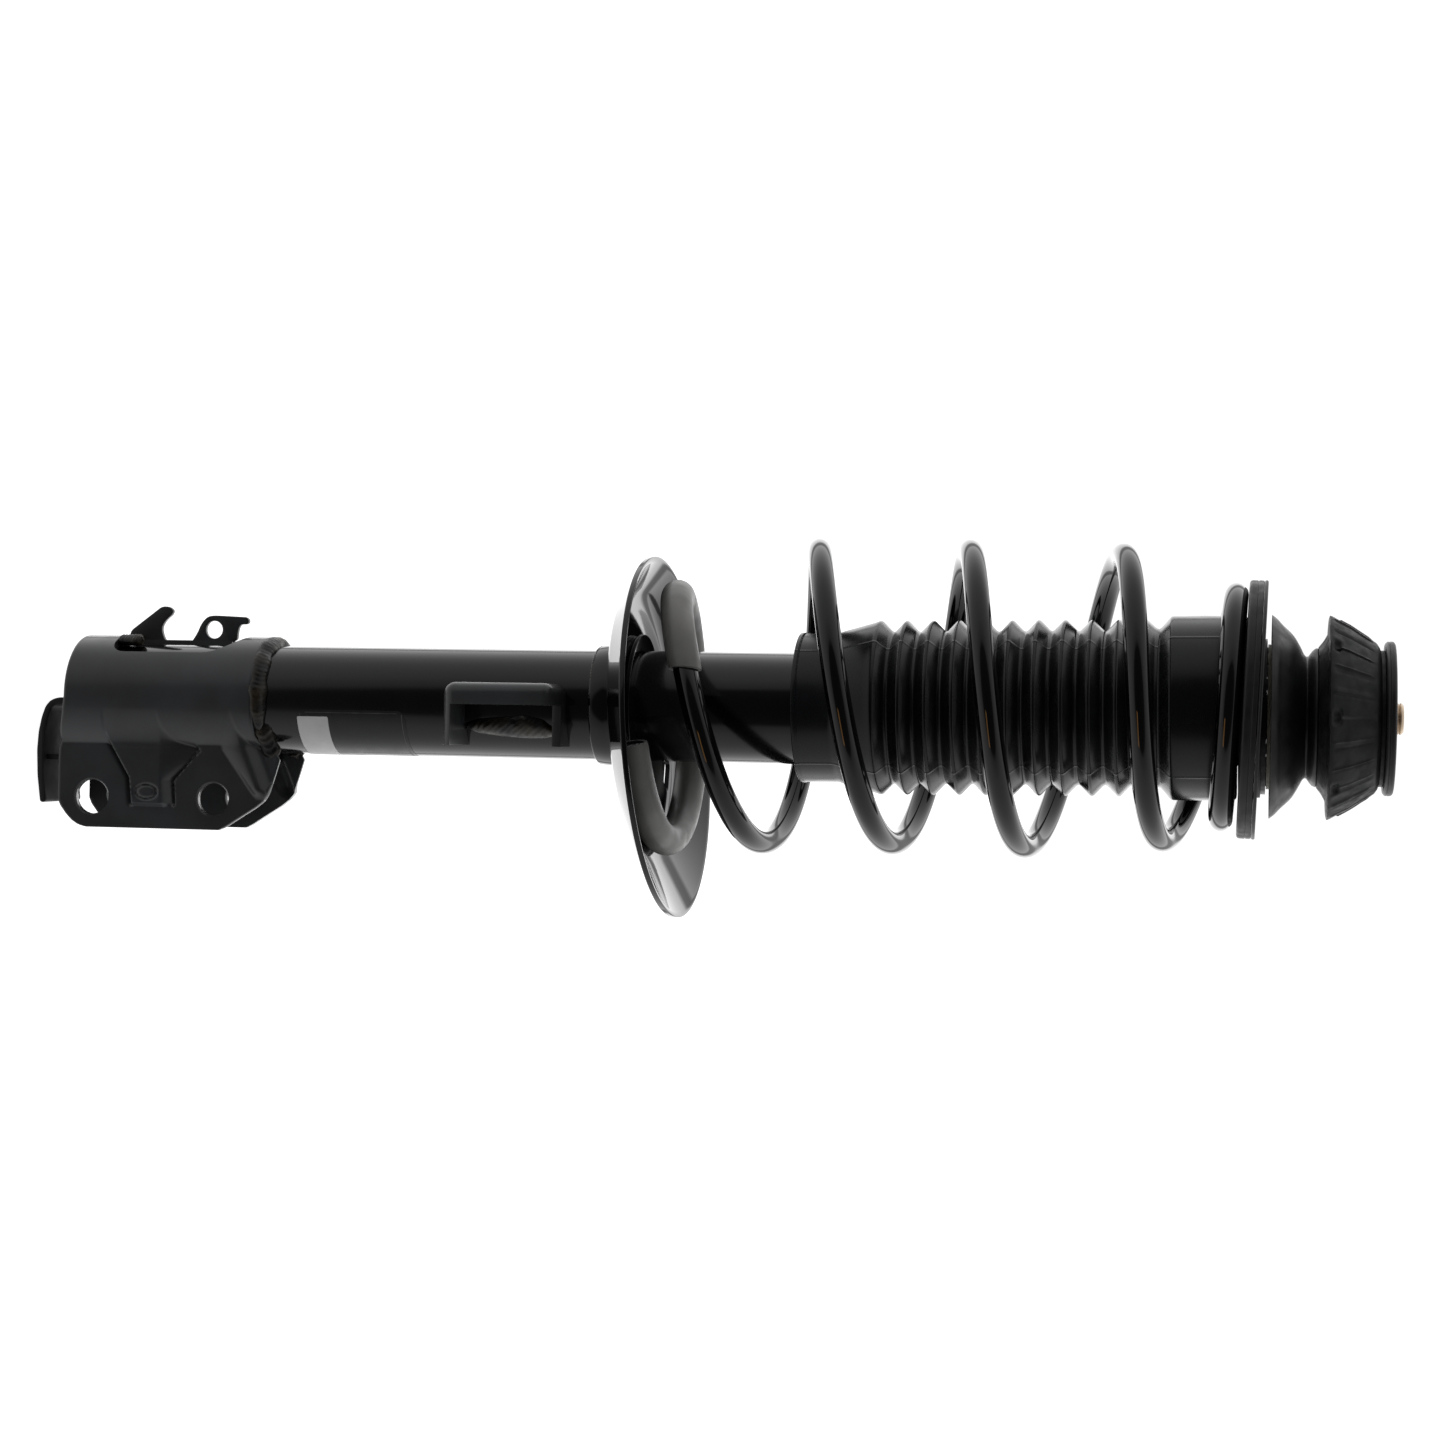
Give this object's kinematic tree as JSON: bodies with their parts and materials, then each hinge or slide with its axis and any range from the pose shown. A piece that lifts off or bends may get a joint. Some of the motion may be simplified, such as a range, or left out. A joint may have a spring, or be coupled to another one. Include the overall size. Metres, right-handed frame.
{
  "type": "strut assembly",
  "caption": "Front suspension strut: damper tube with knuckle bracket, coil spring on an offset seat, folded dust boot and rubber top mount.",
  "frame": {"origin": "on the damper's axis, at the top face of the mount cap where the threaded rod end stands out", "axes": "+Z along the damper towards the top mount, +X towards the ends of the knuckle ears, -Y towards the stabiliser link bracket"},
  "size_m": [0.1756, 0.167, 0.633],
  "materials": {
    "tube_paint": "satin",
    "bracket_paint": "satin",
    "gloss_coat": "gloss",
    "sleeve_plastic": "matte",
    "label_film": "satin",
    "insulator_rubber": "matte",
    "boot_plastic": "matte",
    "bump_foam": "matte",
    "mount_rubber": "matte",
    "steel": "satin",
    "rod_chrome": "gloss",
    "bush_bronze": "satin",
    "cage_plastic": "matte",
    "zinc_yellow": "satin"
  },
  "bodies": {
    "tube": {"damper_tube": "tube_paint", "base_cap": "tube_paint", "base_valve": "steel", "pressure_tube": "steel", "rod_guide": "steel", "guide_bush": "bush_bronze", "oil_seal": "mount_rubber", "striker_cap": "tube_paint", "knuckle_bracket": "bracket_paint", "knuckle_stiffener": "bracket_paint", "hose_bracket": "bracket_paint", "link_bracket": "bracket_paint", "weld_beads": "bracket_paint", "lower_spring_seat": "gloss_coat", "seat_collar": "bracket_paint", "coil_spring": "gloss_coat", "spring_sleeve": "sleeve_plastic", "label": "label_film"},
    "upper_seat": {"upper_spring_seat": "tube_paint", "upper_insulator": "insulator_rubber", "dust_boot": "boot_plastic", "bump_stop": "bump_foam", "bearing_lower_race": "steel", "bearing_cage": "cage_plastic", "bearing_balls": "steel"},
    "rod_mount": {"bearing_upper_race": "steel", "piston_rod": "rod_chrome", "rebound_stop": "steel", "piston": "steel", "piston_ring": "label_film", "valve_discs": "steel", "piston_nut": "zinc_yellow", "mount_core": "steel", "mount_bell": "mount_rubber", "mount_rubber": "mount_rubber", "mount_cap": "tube_paint", "rod_nut": "zinc_yellow"}
  },
  "joints": [
    {"name": "rod_slide", "type": "slide", "parent": "tube", "child": "upper_seat", "axis": [0, 0, 1], "range_m": [-0.125, 0], "stiffness_N_per_m": 20000, "springref_m": 0.02, "deforming": ["coil_spring", "dust_boot", "bump_stop"]},
    {"name": "steer_bearing", "type": "hinge", "parent": "upper_seat", "child": "rod_mount", "pos_m": [0, 0, -0.0539], "axis": [0, 0, 1], "range_deg": [-45, 45]}
  ]
}
